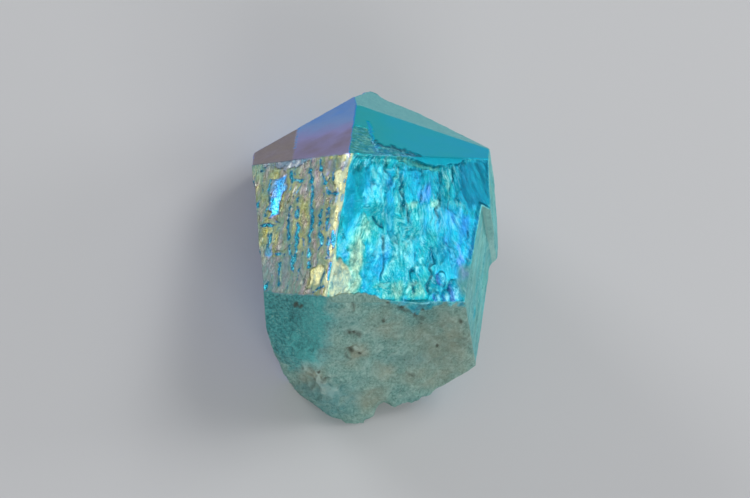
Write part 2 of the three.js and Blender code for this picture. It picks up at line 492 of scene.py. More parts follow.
def shards(u, w, wide, tall, slant, seed):
    """Flat-topped cells about wide x tall mm. For each point: its offset from its own cell's centre
    across and along the cell, the gap to the next cell, and the cell's number."""
    first, second = np.full(len(u), 1e9), np.full(len(u), 1e9)
    da, db = np.zeros(len(u)), np.zeros(len(u))
    number = np.zeros((len(u), 2), int)
    for cell, x, y in cells_near(u, w, wide, tall, slant, 0.86, seed):
        d = np.hypot(x, y)
        near = d < first
        second = np.where(near, first, np.minimum(second, d))
        first = np.where(near, d, first)
        da, db = np.where(near, x, da), np.where(near, y, db)
        number = np.where(near[:, None], cell, number)
    return da * wide, db * tall, (second - first) * wide, number


def tilted(cells, across, along, step, seed):
    """The height of cells that each tilt their own way, by slopes of up to across and along, and
    stand up to step mm above or below the rest."""
    x, y, _, cell = cells
    tilt = (chance(cell, seed) * 2 - 1) * across
    pitch = (chance(cell, seed + 1) * 2 - 1) * along
    return x * tilt + y * pitch + (chance(cell, seed + 2) * 2 - 1) * step


ids, u, w, place = flat_place("left")
bend_u = u + 0.45 * ripple(place, 2.4, 71) + 0.22 * ripple(place, 0.8, 72)
bend_w = w + 0.8 * ripple(place, 2.9, 73) + 0.3 * ripple(place, 0.9, 74)
plates = shards(bend_u, bend_w, 1.9, 6, 0.03, 75)
scales = shards(bend_u, bend_w, 0.85, 2.2, 0.02, 76)
chips = shards(bend_u, bend_w, 0.4, 1, 0.1, 77)
scale_height, _, _ = fluted(bend_u, bend_w, 1.4, 4.5, 0.02, 0.1, 0.02, 0.05, 161)
height = -0.13 + 0.35 * scale_height + tilted(plates, 0.02, 0.01, 0.05, 78)
height += tilted(chips, 0.06, 0.03, 0.012, 80)

# cracks between the plates: line and width
LEFT_CRACKS = [
    ([(-2.4, 4.6), (-1, 0.8), (-1.5, -0.8)], 0.34),
    ([(-1, 0.8), (1.2, -0.1)], 0.24),
    ([(0.7, -3.5), (1.6, -9.1), (2.2, -13.4), (2, -16.6)], 0.32),
    ([(-0.7, -4.7), (-0.4, -8.4), (0.7, -14.1), (2.5, -18.5)], 0.2),
    ([(2.6, 1.3), (4, -3.7), (4.6, -9.3), (4.2, -12.6), (5.2, -18.2)], 0.3),
    ([(4.5, 2.9), (5.3, 0.2), (5.8, -1.8), (7.2, -4.5), (8.9, -5.6)], 0.38),
    ([(-6.5, -6.2), (-2.2, -7.6)], 0.26),
    ([(-4.2, -9.2), (-3.6, -12.5), (-0.7, -13.8)], 0.26),
    ([(-1.2, -15.8), (-0.6, -19.6)], 0.22),
    ([(7.3, 2.8), (7.4, 0), (8.2, -2.6)], 0.18),
    ([(7.8, -8), (7.9, -12.4), (8.6, -16.2)], 0.22),
    ([(6.1, -7.6), (6.3, -11.6), (7.2, -15)], 0.24),
    ([(-6, 3.6), (-5.4, -0.4), (-5.6, -4.4)], 0.2),
]
far = np.full(len(ids), 9.0)  # mm from the nearest crack, large or small
ragged = 0.3 * ripple(place, 0.8, 65) + 0.14 * ripple(place, 0.35, 66)
bend = 0.4 * ripple(place, 1.9, 67)
for line, wide in LEFT_CRACKS:
    far = np.minimum(far, beside(u + bend, w, line) + ragged - wide * 0.6 - 0.05)
own = plates[2] - 0.02 + 0.6 * (chance(plates[3], 68) > 0.25) + 0.25 * ripple(place, 1.1, 162)
small = scales[2] + 0.6 * (chance(scales[3], 69) < 0.97)
far = np.minimum(far, np.minimum(np.minimum(own, 1.2), small) + 0.08 * ripple(place, 0.35, 70))
sunk = 1 - ease(far + 0.06 * ripple(place, 0.3, 173), -0.1, 0.1)
height -= 0.12 * sunk
drawn = place * [1, 0.4]
# from a crack outwards the film runs teal, gold, mauve
tone = 0.04 * ripple(place, 4.5, 81) + 0.05 * ripple(place * [1, 0.3], 0.9, 83)
tone += 0.03 * ripple(drawn, 0.45, 84)
phase = 0.03 + 0.1 * ease(far, 0.1, 0.75) + 1.3 * tone
phase += 0.04 * spot(u, w, (3, -1), (4, 6)) + 0.06 * spot(u, w, (-1.2, -17.6), (5, 4.6))
phase -= 0.06 * spot(u, w, (2.5, -8.5), (2.8, 7)) + 0.05 * spot(u, w, (-5, -10), (3, 4))
phase = np.maximum(phase, 0.03)
phase = np.where(phase > 0.16, 0.16 + 0.45 * (phase - 0.16), phase)
phase = mix(phase, 0.64 + 0.07 * ripple(place, 0.8, 87), sunk)
glint = (chance(chips[3], 85) > 0.95) * 0.35

# plates that took another colour: outline, height, slope across, slope along, film, frosting and painted
# highlight
LEFT_FACETS = [
    ([(6.2, 1.9), (8, 1.6), (8, -0.9), (6.4, -1)], -0.12, 0, 0, 0.23, 0),
    ([(-5.4, 2.2), (-2.7, 2.3), (-2.2, -0.6), (-3.2, -1.6), (-5, -1.2)], -0.02, -0.3, 0.05, 0.45, 0),
    ([(-5.2, -1.2), (-3, -1.4), (-2.7, -5.2), (-4.6, -5.4)], -0.02, -0.3, 0.02, 0.57, 0.22),
    ([(-4.4, -11.4), (-3, -11.4), (-3, -13.2), (-4.4, -13.2)], -0.1, -0.2, 0, 0.46, 0.1),
    ([(8, -1.2), (10.2, -0.6), (10.2, -5), (8.4, -4.9)], -0.06, -0.2, 0, 0, 0.5),
    ([(8.9, -19), (10.9, -17), (11.2, -25.6), (9.2, -24.8)], -0.08, -0.2, 0, 0, 0.3),
    ([(5.6, -19), (8.2, -18.6), (8, -22.8), (5.8, -22.2)], -0.14, -0.2, 0.06, 0, 0.15),
    ([(8.8, -6.4), (10.4, -7), (10.6, -15.4), (9.2, -14.4)], -0.1, -0.15, 0, 0, 0.4),
]
wander = 0.35 * ripple(place, 0.9, 88) + 0.15 * ripple(place, 0.35, 89)
for outline, middle, across, along, hue, frost_and_highlight in LEFT_FACETS:
    hold = ease(within(u + wander, w + wander, outline), -0.3, 0.35)
    cu, cw = np.mean(outline, axis=0)
    face = middle + across * (u - cu) + along * (w - cw) + 0.6 * (height + 0.14)
    height = mix(height, face, hold)
    phase = mix(phase, np.minimum(hue + tone, 1), hold)
    glint = mix(glint, frost_and_highlight, hold)
    sunk *= 1 - hold

# three long thin glints: line and width
LEFT_GLINTS = [
    ([(-3.4, -8.8), (-3.2, -10.8)], 0.16),
    ([(-0.7, -16.6), (-0.4, -19.2)], 0.2),
    ([(10.8, 3.3), (10.9, -1.6)], 0.24),
]
for line, wide in LEFT_GLINTS:
    bright = 1 - ease(beside(u, w, line), 0.4 * wide, wide)
    height += 0.08 * bright
    glint = np.maximum(glint, bright)
    phase *= 1 - bright

# near the shoulder the polished tip colour runs down in ragged tongues
TONGUE_LINE = [
    (-12, 7.4), (-5.8, 6.1), (-3, 3.6), (-0.1, 3.3), (1.9, 3.6), (4, 4.2), (6.2, 4.8), (11, 5.2),
]
tongue_at = np.interp(u, *zip(*TONGUE_LINE))
tongue = ease(w + 0.6 * ripple(place, 1.2, 89) + 0.4 * ripple(place, 0.45, 90) - tongue_at, -0.12, 0.12)
phase = mix(phase, 0.215 + 0.02 * (u / 8), tongue)
height = mix(height, -0.02, tongue)
sunk *= 1 - tongue

press("left", height, LEFT_TOP, LEFT_AT_CREASE, 0.7)
film[ids] = phase
pale[ids] = np.clip(glint, 0, 1)
# the cracks are darker teal, partly their film colour and partly painted shade, over a little random
# depth of colour
deep[ids] = np.clip(0.75 * sunk + 0.08 + 0.12 * ripple(drawn, 1.4, 174), 0, 1)
lay_grain(bend_u / 0.3, bend_w, 40)
# the film is worn thin in places, most of all beside the cracks, so the stone shows through it
worn = ease(-u, 1.5, 7) * (0.5 + 0.5 * ripple(drawn, 1.6, 165)) + 0.6 * ripple(drawn, 1.1, 166)
beside_crack = (1 - ease(far, 0.05, 0.95)) * (0.6 + 0.4 * ripple(drawn, 0.9, 183))
bare_left = np.clip(0.02 + 0.25 * worn + 0.8 * beside_crack, 0, 0.85)
bare_left = bare_left * (1 - sunk) * (1 - tongue) + 0.1 * tongue
# cream beads stand along the lips of the cracks
beads = ease(far, -0.04, 0.02) * (1 - ease(far, 0.12, 0.3))
beads *= (ripple(place, 0.32, 190) > 0.12) * (1 - tongue)
pale[ids] += 0.1 * beside_crack
at_least(pale, 0.6 * beads)
lift["left"] += 0.05 * beads
# a frosted cream border along the front edge
border = ease(u + 0.5 * ripple(drawn, 1, 184) + 0.9 * spot(u, w, (9.5, -13), (3, 5)), 8.5, 9.6)
border *= (1 - tongue) * (1 - 0.8 * sunk)
minty = ease(ripple(place * [1, 0.25], 0.55, 189) + 0.7 * spot(u, w, (9.5, -8), (3, 6)) - 0.1, 0, 0.15)
at_least(pale, border * np.clip(0.45 + 0.5 * ripple(place * [1, 0.5], 0.6, 185), 0.1, 0.9))
paint(film, 0.005 + 0.005 * ripple(place, 1.2, 186), border)
deep[ids] *= 1 - border
strand = border * ease(ripple(place * [1, 0.3], 0.5, 196), 0.12, 0.3) * (0.45 + 0.55 * ease(-w, 0, 3))
paint(film, 0.56, strand)
pale[ids] *= 1 - 0.4 * strand
# high on the left a blue patch kept its film, and the tongues and the top of the face are painted darker,
# as shade
at_least(deep, 0.4 * spot(u, w, (-3.9, 0.6), (2, 2.4)))
at_least(deep, 0.45 * np.maximum(tongue, ease(w, 4.2, 6)))
bare_left *= 1 - spot(u, w, (-3.9, -1.4), (1.9, 4.6))
bare_left = np.clip(bare_left + 0.3 * ease(-w, 11, 17) * (1 - ease(u, 3.5, 5)) * (1 - sunk), 0, 0.85)
lift["left"] -= 0.14 * np.clip(u - 8.2, 0, 3) * border
bare_left = bare_left * (1 - 0.8 * border) + 0.35 * minty * border
at_least(pale, 0.9 * minty * border)


# -------------------- right-hand strip
# The third prism face, seen almost edge-on. It is striped along the crystal by its growth, and its
# coating is worn thin, so it is a pale grey-green.

for name in ("strip_top", "strip"):
    ids, u, w, place = flat_place(name, "strip")
    ribs = shards(u + 0.3 * ripple(place, 3, 91), w, 0.8, 9, 0.02, 92)
    nicks = shards(u, w + 0.4 * ripple(place, 1.4, 93), 1.4, 1.9, 0.1, 94)
    height = -0.12 + tilted(ribs, 0.2, 0.012, 0.08, 95) + 0.5 * tilted(nicks, 0.08, 0.06, 0.05, 96)
    press(name, height, 0.06, 0.3, 0.8)
    film[ids] = 0.64 + 0.04 * ripple(place, 3, 97) + 0.03 * chance(ribs[3], 98)
    coat[ids] = 0.5 - 0.12 * ease(-w, 2, 9) + 0.15 * ripple(place * [1, 0.3], 0.8, 163)
    lay_grain(u / 0.35, w / 2, 80)
    pale[ids] = 0.1 + 0.25 * chance(ribs[3], 99)
    teal = spot(u, w, (3.6, -8.7), (0.9, 1.6))
    paint(coat, 0.85, teal)
    paint(film, 0.64, teal)
    pale[ids] *= 1 - teal
    deep[ids] = np.maximum(0.3 * ease(-w, 3, 12), 0.4 * teal)


# -------------------- the tip
# Six smooth faces, the right one in two flats, meet at the worn point. They kept their polish, and
# the film lies on them in broad washes: blue to purple on the left, green to turquoise on the right.

TIP_STEP = [(-11.7, 13.6), (-9.4, 6.4), (-7.3, -0.2)]  # an old growth line on the left face
SPECKLED = [(-7.3, 6.4), (-5, 6), (-5.2, 2.4), (-5.3, -7.6), (-10.5, -9.5), (-11, -2)]
TIP_CRACK = [(-4.5, 9.9), (-4.9, 6.4), (-5.1, 2.9), (-5.3, -1.7), (-5.2, -7.4)]
RIM_LINE = [(-5.2, 18.9), (16.5, 8.6)]  # beyond it the right face turns away a little
# the rough skin of the prism climbs over the lower edge of the right face, up to this ragged ledge
CLIMB = [(-0.9, 18.8), (0.4, 17.7), (1.4, 17), (2.8, 17.1), (4.2, 16.5), (5.8, 16.2), (7.6, 15.6)]
SIGHT_AWAY = 350  # mm, how far from the heart the stone is looked at, from in front and above
SIGHT_BACK = np.array([-0.29243, -0.51862, 0.80344])  # the way there from the heart
SIGHT_SIDE = np.array([0.9305, 0.0395, 0.3642])  # what looks level from there
SIGHT_RISE = np.array([-0.2207, 0.8541, 0.4710])  # what looks upright


def sighted(p):
    """Where points appear from a fixed place in front of the stone, in mm across and up."""
    scale = SIGHT_AWAY / (SIGHT_AWAY - p @ SIGHT_BACK)
    return p @ SIGHT_SIDE * scale, p @ SIGHT_RISE * scale


ids, u, w, place = flat_place("tip_left")
d = beside(u + 0.15 * ripple(place, 0.8, 101), w, TIP_STEP)
line = (1 - ease(d, 0.02, 0.18)) * (0.6 + 0.4 * ripple(place, 0.7, 167))
outer = ease((u + 11.7) * 0.95 + (w - 13.6) * 0.3, -0.1, 0.1)
lift["tip_left"] = 0.012 * ripple(place, 3.2, 102) - 0.1 * (1 - outer) - 0.08 * line
level = ease(w, 20, 0)
film[ids] = 0.375 - 0.14 * level * level + 0.015 * ripple(place, 2.2, 103)
paint(film, 0.2 + 0.01 * ripple(place, 2, 104), 1 - outer)
paint(film, 0.6, line)
deep[ids] = 0.5 * line
corner = ease(w - 1.1 * (7 - u), 18, 22)
lift["tip_left"] -= 0.45 * corner
pale[ids] = 0.1 + 0.25 * (1 - outer) + 0.12 * ease(u, 2, 7) + 0.4 * corner
smooth[ids] = 1

for name in ("tip_right", "tip_right_rim"):
    ids, u, w, place = flat_place(name, "tip_right")
    crack = 1 - ease(beside(u + 0.25 * ripple(place, 1.1, 105), w, TIP_CRACK), 0.1, 0.42)
    patch = ease(within(u + 0.2 * ripple(place, 0.9, 106), w, SPECKLED), -0.1, 0.15)
    (x0, y0), (x1, y1) = RIM_LINE
    beyond = ((u - x0) * (y0 - y1) + (w - y0) * (x1 - x0)) / math.hypot(x1 - x0, y1 - y0)
    rim = ease(beyond, -0.12, 0.12)
    lift[name] = 0.012 * ripple(place, 3.6, 107) - 0.2 * patch + patch * 0.06 * ripple(place, 0.7, 108)
    lift[name] -= 0.16 * crack + 0.035 * np.clip(beyond, 0, 9)
    film[ids] = 0.66 - 0.055 * ease(u, -6, 2) - 0.03 * ease(u, 8, 15) + 0.012 * ripple(place, 2.4, 109)
    paint(film, 0.65 + 0.1 * ripple(place, 0.7, 110), patch)
    paint(film, 0.52, crack)
    # beyond the rim line the film is thinner and painted pale grey-teal, a painted reflection of the pale
    # surroundings at a grazing angle
    paint(film, 0.6, rim)
    coat[ids] = 1 - 0.6 * rim
    pale[ids] = 0.3 * rim + patch * (0.36 + 0.4 * ripple(place, 0.5, 111))
    lay_grain(u / 0.2, w / 0.2, 160)
    smooth[ids] = (1 - patch) * (1 - 0.6 * rim)
    across, up = sighted(points[ids])
    jagged = 0.25 * ripple(place, 0.7, 198) + 0.12 * ripple(place, 0.35, 199)
    ledge = 1 - ease(beside(across + jagged, up + jagged, CLIMB), 0.08, 0.34)
    rough = 1 - ease(up + jagged - np.interp(across, *zip(*CLIMB)), -0.12, 0.12)
    rough *= ease(across, -0.6, 0.2) * (1 - ease(across, 6.6, 7.4))
    lift[name] -= 0.14 * ledge + rough * (0.1 + 0.12 * ripple(place, 0.8, 200))
    paint(film, 0.57 + 0.1 * ripple(place, 0.9, 201), rough)
    at_least(pale, rough * np.clip(0.35 + 0.5 * ripple(place, 0.6, 202), 0, 0.8))
    # the foot of the ledge is painted dark, as the shadow under it
    deep[ids] = np.maximum(0.85 * ledge, rough * np.clip(0.1 - 0.5 * ripple(place, 0.7, 203), 0, 0.6))
    smooth[ids] *= (1 - rough) * (1 - ledge)

for name, hue in (("tip_east", 0.62), ("tip_low", 0.58), ("tip_foot", 0.55), ("tip_back", 0.44)):
    ids, u, w, place = flat_place(name)
    steps = shards(u + ripple(place, 4, 112), w, 5, 14, 0.4, 113)
    lift[name] = -0.05 + 0.015 * ripple(place, 3, 114) + tilted(steps, 0.008, 0.004, 0.03, 115)
    film[ids] = hue + 0.04 * ripple(place, 6, 116) - 0.08 * ease(w, 14, 0)
    pale[ids] = 0.1
    smooth[ids] = 1


# -------------------- the faces turned away
# The other prism faces carry the fine cross-lines that every quartz prism has, with low growth
# steps and a few plates. The stone lies on one of them, so that one stays flat.

for name, hue in (("low_right", 0.6), ("back_left", 0.3)):
    ids, u, w, place = flat_place(name)
    bend_w = w + 0.5 * ripple(place, 6, 121)
    bands = shards(u * 0.4 + 0.8 * ripple(place, 3, 122), bend_w, 6, 1.3, 0, 123)
    plates = shards(u + 0.5 * ripple(place, 2, 124), w + ripple(place, 3, 125), 3.4, 5.5, 0.2, 126)
    height = -0.14 + tilted(bands, 0.004, 0.06, 0.05, 127) + tilted(plates, 0.05, 0.03, 0.1, 128)
    pits = (1 - ease(plates[2], 0, 0.35)) * (chance(plates[3], 129) > 0.55)
    height -= 0.22 * pits
    press(name, height, 0.06, 0.35, 1)
    film[ids] = hue + 0.06 * ripple(place, 5, 130) + 0.05 * (chance(plates[3], 131) * 2 - 1)
    # the pits are painted darker, as shade in them
    deep[ids] = 0.5 * pits
    pale[ids] = 0.08 + 0.2 * (chance(bands[3], 132) > 0.8)
    lay_grain(u / 2, bend_w / 0.3, 120)

# the face it lies on, and the small ledges between flats, pale where the growth layer ends
ids, _, _, place = flat_place("foot")
film[ids] = 0.6 + 0.05 * ripple(place, 5, 133)
lift["foot"] = np.zeros(len(ids))
ids = seen["ledge"]
lift["ledge"] = np.zeros(len(ids))
worn = (points[ids, 0] > 8) & (points[ids, 1] > 3) & (points[ids, 1] < 5)
film[ids] = 0.66
coat[ids] = np.where(worn, 0.3, 1)
pale[ids] = np.where(worn, 0.75, 0.1)
deep[ids] = np.where(worn, 0, 0.3)


# -------------------- the break
# Where the crystal was snapped from its bed. Bare stone with no film on it: a soft, sugary grey-
# green with pits and stains, and one smooth glassy dark-teal shell on the left.

BREAK_TOP = 0.85  # mm, the highest its relief may stand
BREAK_ROUNDS = 60  # how often the edges between its flats are smoothed
SMOOTHING = 0.6  # how far a point goes each time towards the mean of those beside it


def one_long(directions):
    """Directions made one unit long."""
    return directions / np.maximum(np.linalg.norm(directions, axis=1), 1e-12)[:, None]


def side_pairs(tris):
    """The two ends of every side of some triangles, both ways round."""
    ends = np.vstack([tris[:, [0, 1]], tris[:, [1, 2]], tris[:, [2, 0]]])
    return np.vstack([ends, ends[:, ::-1]])


def mean_beside(pairs, values):
    """For each point of the net, the mean of the values at the points beside it."""
    near = np.maximum(np.bincount(pairs[:, 0], minlength=len(points)), 1)
    sums = [np.bincount(pairs[:, 0], column[pairs[:, 1]], len(points)) for column in values.T]
    return np.stack(sums, 1) / near[:, None]


# the flats of the break run into each other without an edge, like the inside of a shell
ids = seen["break"]
loose = np.zeros(len(points), bool)
loose[ids] = True
loose[on_crease] = False
mine = triangles[tri_names == "break"]
pairs = side_pairs(mine)
for _ in range(BREAK_ROUNDS):
    points[loose] += SMOOTHING * (mean_beside(pairs, points)[loose] - points[loose])
tri_normals[tri_names == "break"] = one_long(ways(points, mine))

p = points[ids]
across, up = sighted(p)
seen_at = np.stack([across, up], 1)
layered = np.stack([p @ SIGHT_SIDE, p @ SIGHT_RISE, 0.5 * p @ SIGHT_BACK], 1)
height = -0.05 + 0.45 * ripple(layered, 5.2, 141) + 0.6 * (0.5 - np.abs(ripple(layered, 2.6, 142)))
height += 0.36 * (0.5 - np.abs(ripple(layered, 1.3, 149)))
fine = 0.12 * (0.5 - np.abs(ripple(layered, 0.75, 143))) + 0.08 * ripple(layered, 0.45, 144)
grain[ids] = layered / 0.42 + 200
# the rim bulges below, on both sides of the bite, and on the left: place, reach, height
BULGES = [((-2.4, -28.6), (4.2, 3), 0.7), ((7.5, -25.5), (4, 2.2), 0.5), ((-15.5, -19), (5, 9), 0.7)]
for at, reach, out in BULGES:
    height += out * spot(across, up, at, reach, 0.2)

# the outline of the glassy shell
GLASS_RIM = [
    (-7.4, -8.6), (-6.8, -12), (-8.2, -13.2), (-8.8, -18.8), (-13.2, -19.5), (-16.8, -16.3), (-19.5, -12),
    (-19.5, -6), (-8, -6.5),
]
wander = 0.8 * ripple(seen_at, 1.9, 145) + 0.5 * ripple(seen_at, 0.7, 146)
wander += 0.3 * ripple(seen_at, 0.35, 188)
glass = ease(within(across + wander, up + wander, GLASS_RIM), -1.4, 1.4)
glassy[ids] = glass
height = height * (1 - 0.3 * glass) + fine

# pits: place, width, depth
PITS = [
    ((-3.3, -14), 0.9, 0.35), ((-3.7, -16.7), 1.2, 0.5), ((-1, -15.2), 0.8, 0.2), ((2.6, -14.6), 1, 0.2),
    ((4.5, -18), 1.3, 0.25), ((-6, -19.5), 1.1, 0.25), ((8, -12.5), 0.9, 0.2), ((0.4, -19.4), 1.4, 0.25),
]
ragged_across = across + 0.3 * ripple(seen_at, 0.8, 155)
ragged_up = up + 0.3 * ripple(seen_at, 0.8, 156)
for at, wide, down in PITS:
    d = np.hypot(ragged_across - at[0], ragged_up - at[1])
    height -= down * (1 - ease(d, 0.3 * wide, wide))
    height += 0.3 * down * (1 - ease(np.abs(d - 1.15 * wide), 0, 0.35))

# a pale splintered step below the glassy part
SPLINTERS = [(-13.2, -15.6), (-12.2, -17.6), (-10.4, -19.6), (-8.8, -21.6), (-7.6, -23.4)]
d = beside(across + 0.5 * ripple(seen_at, 1.2, 175), up + 0.4 * ripple(seen_at, 0.6, 176), SPLINTERS)
strands = np.stack([0.78 * across + 0.62 * up, 0.45 * (0.62 * across - 0.78 * up)], 1)
split = ease(ripple(strands, 0.65, 177) + 0.3 * ripple(seen_at, 0.5, 195), -0.2, 0.15)
crumbled = spot(across, up, (-10.9, -17.4), (2.4, 1.9)) * ease(ripple(seen_at, 0.9, 178), -0.1, 0.2)
splinter = np.maximum((1 - ease(d, 0.7, 1.9)) * split, 0.9 * crumbled)
height += 0.25 * splinter
press("break", height, BREAK_TOP, 0.55, 1.2)

# pinkish-brown patches: place, reach, strength
TINTS = [
    ((-3, -17), (2.6, 1.8), 0.7), ((-10.5, -21.5), (3, 3.2), 0.9), ((1.5, -20), (3.2, 2), 0.7),
    ((9.5, -18.5), (7, 5.5), 0.5), ((12.5, -13), (3.2, 3), 0.5), ((3, -13.5), (4, 2), 0.4),
    ((-1, -25), (4, 2.5), 0.5),
]
mottle = 0.45 * ripple(layered, 1.5, 147) + 0.35 * ripple(layered, 0.6, 148)
tint = np.zeros(len(ids))
for at, reach, much in TINTS:
    tint = np.maximum(tint, much * spot(across, up, at, reach, 0.2, 1.1))
warm[ids] = np.clip(0.08 + tint * (1 + 0.6 * mottle) + 0.15 * mottle, 0, 1) * (1 - glass)
pale[ids] = np.clip(0.04 + 0.22 * ripple(layered, 1.4, 168) + 0.4 * ripple(layered, 0.5, 169), 0, 0.7)
pale[ids] *= 1 - 0.5 * glass
at_least(pale, 0.95 * splinter)
at_least(pale, 0.8 * spot(across, up, (-3.2, -16.6), (0.5, 0.4)))
pale[ids] = np.clip(pale[ids] + 0.7 * glass * ease(across + 0.6 * wander, -14.5, -9.5), 0, 1)
blue = spot(across, up, (-9, -25), (8, 4)) + spot(across, up, (9.5, -24.8), (2, 1.2))
blue += 0.5 * spot(across, up, (-9.5, -14.5), (3, 5))
deep[ids] = np.clip(blue * (0.6 + 0.5 * ripple(layered, 0.9, 170)), 0, 0.8)

# bluer and browner drifts run through the stone, and the right is a little rusty
drift = ripple(layered, 3.6, 191) + 0.5 * ripple(layered, 1.8, 192)
deep[ids] = np.clip(deep[ids] + 0.4 * np.maximum(drift - 0.05, 0), 0, 0.8)
warm[ids] = np.clip(warm[ids] + 0.5 * np.maximum(-drift - 0.05, 0) * (1 - glass), 0, 1)
rust[ids] = 0.14 * spot(across, up, (11.5, -13.5), (8, 7)) * (0.7 + 0.5 * ripple(layered, 1.2, 193))

# iron stains and black specks, and thin stained cracks: place or line, and width
STAINS = [
    ((6.8, -10.8), 0.6), ((7.7, -12.3), 0.5), ((14.3, -12), 0.7), ((4.6, -9.6), 0.5), ((2.2, -8.9), 0.5),
    ((8, -9.9), 0.4), ((-3.8, -16.9), 0.8), ((-13, -9.1), 0.5), ((-12.3, -9.5), 0.45),
    ((1.2, -11.5), 0.35), ((10.4, -16.2), 0.3), ((-9.4, -20.4), 0.3), ((-4.2, -13.9), 0.4),
    ((-3.5, -13.8), 0.42), ((-2.9, -14.1), 0.36), ((-4.6, -16.3), 0.35), ((-2.6, -17.3), 0.3),
]
STAINED_CRACKS = [
    ([(6.2, -10.2), (7, -11.2), (7.5, -12.4)], 0.2), ([(7, -11.2), (8.3, -11.7)], 0.16),
    ([(-3.7, -8.6), (-3.9, -9.8)], 0.14),
    ([(-4.8, -14.1), (-4.2, -13.8), (-3.4, -13.8), (-2.7, -14.2)], 0.34),
    ([(-5, -17.2), (-4.4, -18), (-3.6, -18.2)], 0.1), ([(5.2, -20.4), (6.9, -21)], 0.12),
    ([(2.6, -9.4), (4.4, -9.9), (6.2, -10.4)], 0.12), ([(-9, -22), (-7.4, -21)], 0.08),
]
ragged = 0.4 * ripple(seen_at, 0.7, 157)
for at, wide in STAINS:
    d = np.hypot(across - at[0], up - at[1]) + wide * ragged
    at_least(rust, 0.9 * (1 - ease(d, 0.3 * wide, wide)))
ragged_across = across + 0.25 * ripple(seen_at, 0.8, 179)
ragged_up = up + 0.2 * ripple(seen_at, 0.5, 180)
patchy = 0.55 + 0.45 * ripple(seen_at, 0.6, 187)
for line, wide in STAINED_CRACKS:
    d = beside(ragged_across, ragged_up, line)
    at_least(rust, 0.85 * patchy * (1 - ease(d, 0.4 * wide, wide + 0.25)))

# the film stops at a ragged line just above the break, and runs over the rim in the middle
FILM_EDGE = [
    (-30, -7), (-18.8, -7.2), (-8.3, -8), (-5.8, -7.5), (-3, -7.1), (0.5, -7.7), (2.2, -8.4), (4.8, -9.6),
    (7.2, -10.5), (9.5, -9.6), (12, -9.3), (15.5, -9.2), (40, -9),
]
for name in ("left", "right", "break"):
    ids = seen[name]
    across, up = sighted(points[ids])
    seen_at = np.stack([across, up], 1)
    edge = np.interp(across, *zip(*FILM_EDGE))
    edge += 0.3 * ripple(seen_at, 1.1, 158) + 0.2 * ripple(seen_at, 0.4, 159)
    edge += 0.5 * ripple(seen_at, 0.6, 197) * (name == "break")
    kept = ease(up - edge, -0.12, 0.16)
    if name == "break":
        stained = 0.7 * (1 - ease(edge - up, 0.2, 3)) * (0.6 + 0.5 * ripple(seen_at, 1.4, 181))
        at_least(glassy, stained * (1 - ease(across, 5, 12)))
        kept *= ease(across, -8.5, -7) * (1 - ease(across, 15, 16))
        film[ids] = 0.6 + 0.06 * ripple(seen_at, 0.8, 160)
        coat[ids] = kept * (0.75 + 0.2 * ripple(seen_at, 0.6, 171))
        at_least(pale, 0.3 * kept)
    else:
        coat[ids] = kept * (1 - (bare_right if name == "right" else bare_left))
        lift[name] = lift[name] * (0.35 + 0.65 * kept) - 0.12 * (1 - kept)
        warm[ids] = 0.2 * (1 - kept)
        glassy[ids] = np.maximum((1 - kept) * ease(-across, 6.5, 9), 0.5 * kept * (name == "left"))
        deep[ids] *= kept
        pale[ids] *= kept


# -------------------- the skin put together
# Every point moves straight out from its own face. A point on a crease moves to where the faces
# that meet there would meet after they have moved.

CREASE_EASE = 0.05  # keeps a point from running far along a crease between two nearly level faces


def outward(tris, directions):
    """The way out of the stone at each point of the net, from its triangles' directions."""
    total = np.zeros((len(points), 3))
    for k in range(3):
        np.add.at(total, tris[:, k], directions)
    return one_long(total)


moved = points.copy()
meeting = {int(i): [] for i in np.nonzero(on_crease)[0]}
for name, ids in seen.items():
    mine = tri_names == name
    out_way = outward(triangles[mine], tri_normals[mine])[ids]
    plain = ~on_crease[ids]
    moved[ids[plain]] += out_way[plain] * lift[name][plain, None]
    for i, way, height in zip(ids[~plain], out_way[~plain], lift[name][~plain]):
        meeting[int(i)].append((way, height))
for i, faces in meeting.items():
    way, height = (np.array(part) for part in zip(*faces))
    moved[i] += way.T @ np.linalg.solve(way @ way.T + CREASE_EASE * np.eye(len(way)), height)

# the edge between the two front faces is worn, and painted pale along it as a highlight
front_edge = np.intersect1d(seen["left"], seen["right"])
ids = seen["right"]
across, up = sighted(points[ids])
seen_at = np.stack([across, 0.35 * up], 1)
run_across, run_up = sighted(points[front_edge])
edge_line = [(run_across[k], run_up[k]) for k in (run_up.argmin(), run_up.argmax())]
rubbed_and_highlight = 1 - ease(beside(across, up, edge_line) - 0.5 * ripple(seen_at, 0.9, 194), 0, 0.55)
rubbed_and_highlight *= coat[ids]
paint(film, 0.96, rubbed_and_highlight)
at_least(pale, 0.6 * rubbed_and_highlight)
coat[front_edge] = 0.4
pale[front_edge] = 0.9
# the edge between the left face and the tip above it is a fine dark line
shoulder_edge = np.intersect1d(seen["left"], seen["tip_left"])
pale[shoulder_edge] = 0
deep[shoulder_edge] = 0.3

# the growth layer on the right-hand strip ends in a soft shoulder, and every edge is a little worn
SHOULDER = np.array([21.0, 4.6, 0.5])  # mm from the heart
SHOULDER_ROUNDS = 34  # how often the shoulder is smoothed
EDGE_ROUNDS = 3  # how often every edge is
EDGE_WEAR = (0.55, 0.25)  # the smoothing of a point on an edge, and of one beside it
pairs = side_pairs(triangles)
shoulder = 1 - ease(np.linalg.norm((moved - SHOULDER) / [1, 0.8, 1.8], axis=1), 2, 4.4)
touching = mean_beside(pairs, on_crease[:, None])[:, 0] > 0
worn_edge = np.where(on_crease, EDGE_WEAR[0], np.where(touching, EDGE_WEAR[1], 0))
for turn in range(SHOULDER_ROUNDS):
    hold = np.maximum(SMOOTHING * shoulder, worn_edge if turn < EDGE_ROUNDS else 0)
    hold[seen["foot"]] = 0
    moved += hold[:, None] * (mean_beside(pairs, moved) - moved)

